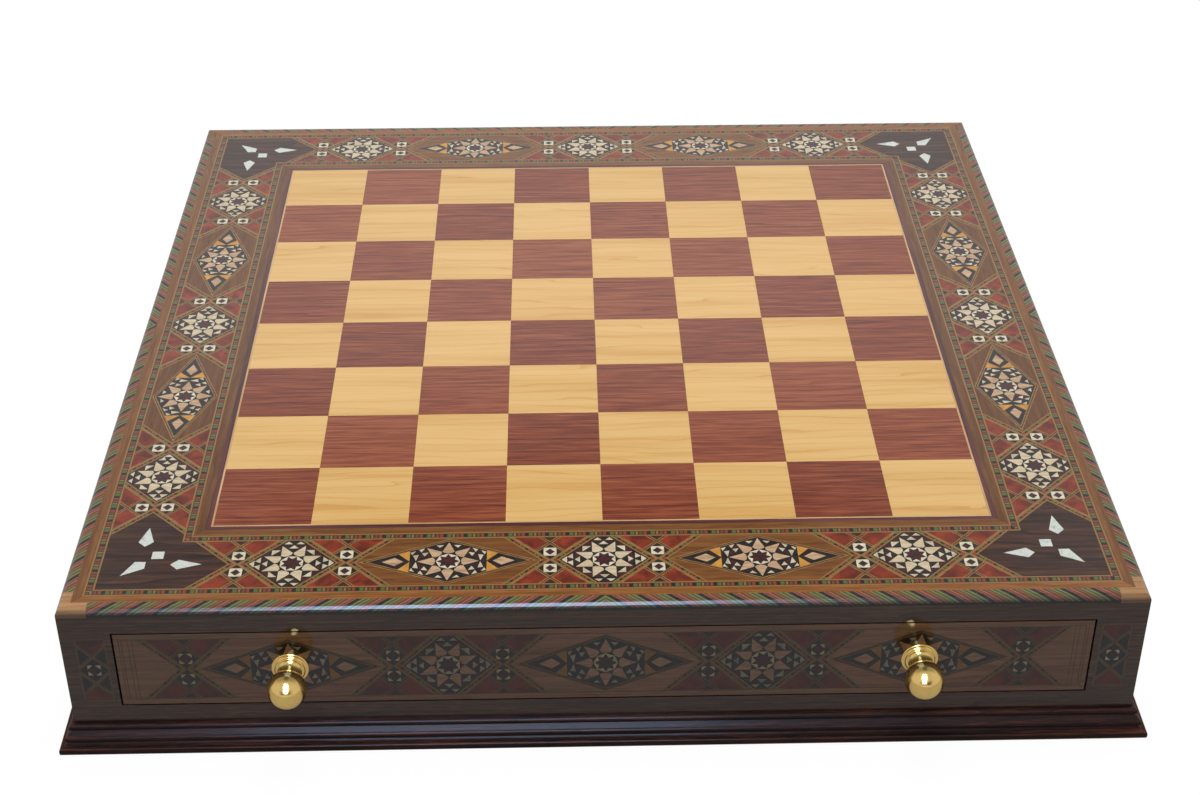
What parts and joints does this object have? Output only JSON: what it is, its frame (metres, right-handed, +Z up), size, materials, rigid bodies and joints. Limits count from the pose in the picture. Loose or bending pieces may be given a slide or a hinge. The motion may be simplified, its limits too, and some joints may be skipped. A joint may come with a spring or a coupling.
{
  "type": "chess box with drawers",
  "caption": "Square walnut games box with an inlaid chess board as its top, star and lozenge marquetry borders, a moulded plinth, and felt-lined drawers with brass knobs.",
  "frame": {"origin": "middle of the underside, on the surface that the box stands on", "axes": "+Z up, the front drawer faces -Y, +X to the right seen from the front"},
  "size_m": [0.4414, 0.4704, 0.07],
  "materials": {
    "core_wood": "raw, sanded",
    "case_walnut": "lacquered, satin",
    "plinth_rosewood": "lacquered, gloss",
    "maple": "lacquered, gloss",
    "padauk_square": "lacquered, gloss",
    "pale_line": "lacquered, gloss",
    "dark_line": "lacquered, gloss",
    "walnut_band": "lacquered, gloss",
    "mosaic": "lacquered, gloss",
    "rope": "lacquered, gloss",
    "pale_corner": "lacquered, gloss",
    "blackwood": "lacquered, gloss",
    "bone": "polished bone under lacquer",
    "white_bone": "polished bone under lacquer",
    "rosewood": "lacquered, gloss",
    "padauk_tile": "lacquered, gloss",
    "line_wood": "lacquered, gloss",
    "mosaic_band": "lacquered, gloss",
    "ochre_wood": "lacquered, gloss",
    "walnut_field": "lacquered, gloss",
    "corner_walnut": "lacquered, gloss",
    "pearl": "mother of pearl, polished",
    "drawer_walnut": "lacquered, satin",
    "drawer_beech": "raw, sanded",
    "felt": "felt",
    "knob_brass": "polished",
    "screw_steel": "zinc plated"
  },
  "bodies": {
    "case": {"top_board": "core_wood", "left_wall": "case_walnut", "right_wall": "case_walnut", "front_top_rail": "case_walnut", "front_bottom_rail": "case_walnut", "rear_top_rail": "case_walnut", "rear_bottom_rail": "case_walnut", "bottom_board": "core_wood", "drawer_divider": "core_wood", "glue_blocks": "core_wood", "front_plinth": "plinth_rosewood", "rear_plinth": "plinth_rosewood", "left_plinth": "plinth_rosewood", "right_plinth": "plinth_rosewood", "light_squares": "maple", "dark_squares": "padauk_square", "pale_line": "pale_line", "dark_line": "dark_line", "walnut_bands": "walnut_band", "mosaic_stringing": "mosaic", "rope_edging": "rope", "front_corner_blocks": "pale_corner", "rear_corner_blocks": "walnut_band", "blackwood_tiles": "blackwood", "bone_inlays": "bone", "white_inlays": "white_bone", "rosewood_inlays": "rosewood", "padauk_tiles": "padauk_tile", "line_inlays": "line_wood", "mosaic_bands": "mosaic_band", "ochre_tips": "ochre_wood", "walnut_fields": "walnut_field", "corner_fields": "corner_walnut", "pearl_inlays": "pearl"},
    "front_drawer": {"front_drawer_face": "drawer_walnut", "front_drawer_left_side": "drawer_beech", "front_drawer_right_side": "drawer_beech", "front_drawer_back": "drawer_beech", "front_drawer_bottom": "drawer_beech", "front_drawer_felt": "felt", "front_drawer_dividers": "drawer_beech", "front_drawer_knobs": "knob_brass", "front_knob_screws": "screw_steel", "front_drawer_blackwood": "blackwood", "front_drawer_bone": "bone", "front_drawer_padauk": "padauk_tile", "front_drawer_lines": "line_wood"},
    "rear_drawer": {"rear_drawer_face": "drawer_walnut", "rear_drawer_left_side": "drawer_beech", "rear_drawer_right_side": "drawer_beech", "rear_drawer_back": "drawer_beech", "rear_drawer_bottom": "drawer_beech", "rear_drawer_felt": "felt", "rear_drawer_dividers": "drawer_beech", "rear_drawer_knobs": "knob_brass", "rear_knob_screws": "screw_steel", "rear_drawer_blackwood": "blackwood", "rear_drawer_bone": "bone", "rear_drawer_padauk": "padauk_tile", "rear_drawer_lines": "line_wood"}
  },
  "joints": [
    {"name": "front_drawer_slide", "type": "slide", "parent": "case", "child": "front_drawer", "axis": [0, -1, 0], "range_m": [0, 0.15]},
    {"name": "rear_drawer_slide", "type": "slide", "parent": "case", "child": "rear_drawer", "axis": [0, 1, 0], "range_m": [0, 0.15]}
  ]
}
